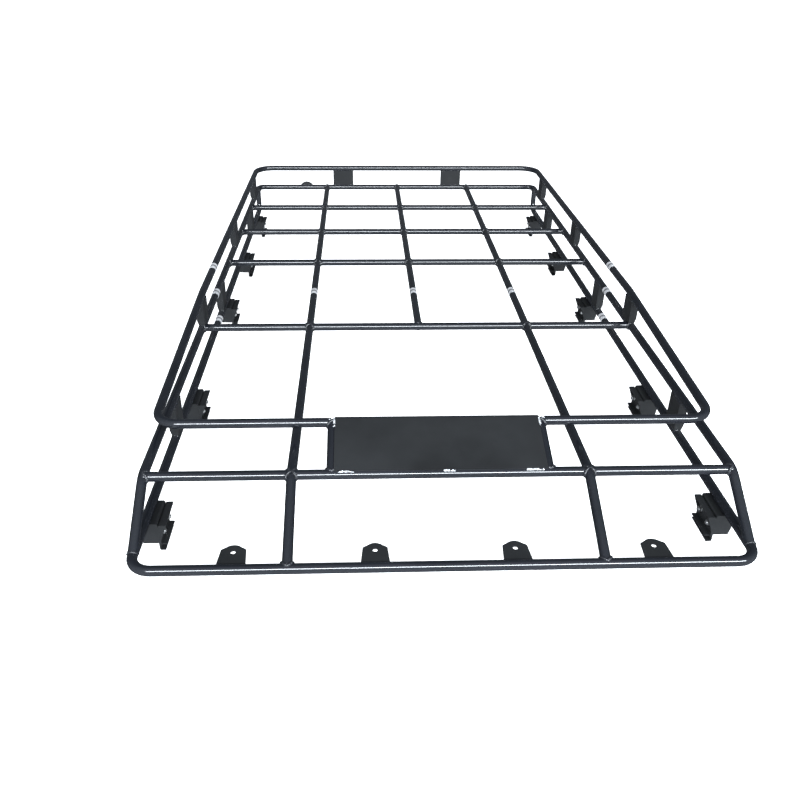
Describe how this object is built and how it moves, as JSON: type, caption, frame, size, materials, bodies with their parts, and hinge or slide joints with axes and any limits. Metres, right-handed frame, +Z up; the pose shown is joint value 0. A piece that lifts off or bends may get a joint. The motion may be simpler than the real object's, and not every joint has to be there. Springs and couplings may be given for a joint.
{
  "type": "roof cargo rack",
  "caption": "Full-length tubular steel roof rack in sections that plug together, with a raised side rail, a sloping front panel, gutter feet and light tabs.",
  "frame": {"origin": "on the ground plane under the middle of the rack, level with the undersides of the feet's lips", "axes": "X across the rack, positive to the right seen from the nose; +Y along the rack, towards the rear; +Z up"},
  "size_m": [1.488, 2.805, 0.3151],
  "materials": {
    "black_tube": "gloss black powder coat on tube",
    "black_sheet": "satin black powder coat on folded sheet",
    "bare_steel": "unpainted bright steel tube ends",
    "zinc": "bright zinc plate"
  },
  "bodies": {
    "front_section": {"top_rail_front": "black_tube", "nose_rail": "black_tube", "floor_rail_front_left": "black_tube", "floor_rail_front_right": "black_tube", "lengthwise_front_left": "black_tube", "lengthwise_front_right": "black_tube", "lengthwise_front_centre": "black_tube", "crossbar_middle": "black_tube", "crossbar_bend": "black_tube", "upper_upright_front_left": "black_sheet", "upper_upright_front_right": "black_sheet", "lower_upright_front_left": "black_sheet", "lower_upright_front_right": "black_sheet", "panel_struts": "black_tube", "front_panel": "black_sheet", "light_tabs": "black_sheet", "bare_ends_front": "bare_steel", "joint_spigots": "bare_steel", "clamp_fasteners_front": "zinc", "foot_4_left": "black_sheet", "foot_4_right": "black_sheet", "foot_5_left": "black_sheet", "foot_5_right": "black_sheet"},
    "rear_section": {"top_rail_rear": "black_tube", "floor_rail_rear": "black_tube", "lower_rail_rear_left": "black_tube", "lower_rail_rear_right": "black_tube", "lengthwise_rear_left": "black_tube", "lengthwise_rear_centre": "black_tube", "lengthwise_rear_right": "black_tube", "crossbar_rear_1": "black_tube", "crossbar_rear_2": "black_tube", "crossbar_rear_3": "black_tube", "upper_uprights_rear_left": "black_sheet", "upper_uprights_rear_right": "black_sheet", "lower_uprights_rear_left": "black_sheet", "lower_uprights_rear_right": "black_sheet", "rear_plates": "black_sheet", "rear_half_round_tab": "black_sheet", "bare_ends_rear": "bare_steel", "clamp_fasteners_rear": "zinc", "foot_1_left": "black_sheet", "foot_1_right": "black_sheet", "foot_2_left": "black_sheet", "foot_2_right": "black_sheet", "foot_3_left": "black_sheet", "foot_3_right": "black_sheet"},
    "clamp_1_left": {"gutter_clamp_1_left": "black_sheet"},
    "clamp_1_right": {"gutter_clamp_1_right": "black_sheet"},
    "clamp_2_left": {"gutter_clamp_2_left": "black_sheet"},
    "clamp_2_right": {"gutter_clamp_2_right": "black_sheet"},
    "clamp_3_left": {"gutter_clamp_3_left": "black_sheet"},
    "clamp_3_right": {"gutter_clamp_3_right": "black_sheet"},
    "clamp_4_left": {"gutter_clamp_4_left": "black_sheet"},
    "clamp_4_right": {"gutter_clamp_4_right": "black_sheet"},
    "clamp_5_left": {"gutter_clamp_5_left": "black_sheet"},
    "clamp_5_right": {"gutter_clamp_5_right": "black_sheet"}
  },
  "joints": [
    {"name": "section_slide", "type": "slide", "parent": "front_section", "child": "rear_section", "axis": [0, 1, 0], "range_m": [0, 0.075]},
    {"name": "clamp_1_left_slide", "type": "slide", "parent": "rear_section", "child": "clamp_1_left", "axis": [0, 0, 1], "range_m": [-0.008, 0.008]},
    {"name": "clamp_1_right_slide", "type": "slide", "parent": "rear_section", "child": "clamp_1_right", "axis": [0, 0, 1], "range_m": [-0.008, 0.008]},
    {"name": "clamp_2_left_slide", "type": "slide", "parent": "rear_section", "child": "clamp_2_left", "axis": [0, 0, 1], "range_m": [-0.008, 0.008]},
    {"name": "clamp_2_right_slide", "type": "slide", "parent": "rear_section", "child": "clamp_2_right", "axis": [0, 0, 1], "range_m": [-0.008, 0.008]},
    {"name": "clamp_3_left_slide", "type": "slide", "parent": "rear_section", "child": "clamp_3_left", "axis": [0, 0, 1], "range_m": [-0.008, 0.008]},
    {"name": "clamp_3_right_slide", "type": "slide", "parent": "rear_section", "child": "clamp_3_right", "axis": [0, 0, 1], "range_m": [-0.008, 0.008]},
    {"name": "clamp_4_left_slide", "type": "slide", "parent": "front_section", "child": "clamp_4_left", "axis": [0, 0, 1], "range_m": [-0.008, 0.008]},
    {"name": "clamp_4_right_slide", "type": "slide", "parent": "front_section", "child": "clamp_4_right", "axis": [0, 0, 1], "range_m": [-0.008, 0.008]},
    {"name": "clamp_5_left_slide", "type": "slide", "parent": "front_section", "child": "clamp_5_left", "axis": [0, 0, 1], "range_m": [-0.008, 0.008]},
    {"name": "clamp_5_right_slide", "type": "slide", "parent": "front_section", "child": "clamp_5_right", "axis": [0, 0, 1], "range_m": [-0.008, 0.008]}
  ]
}
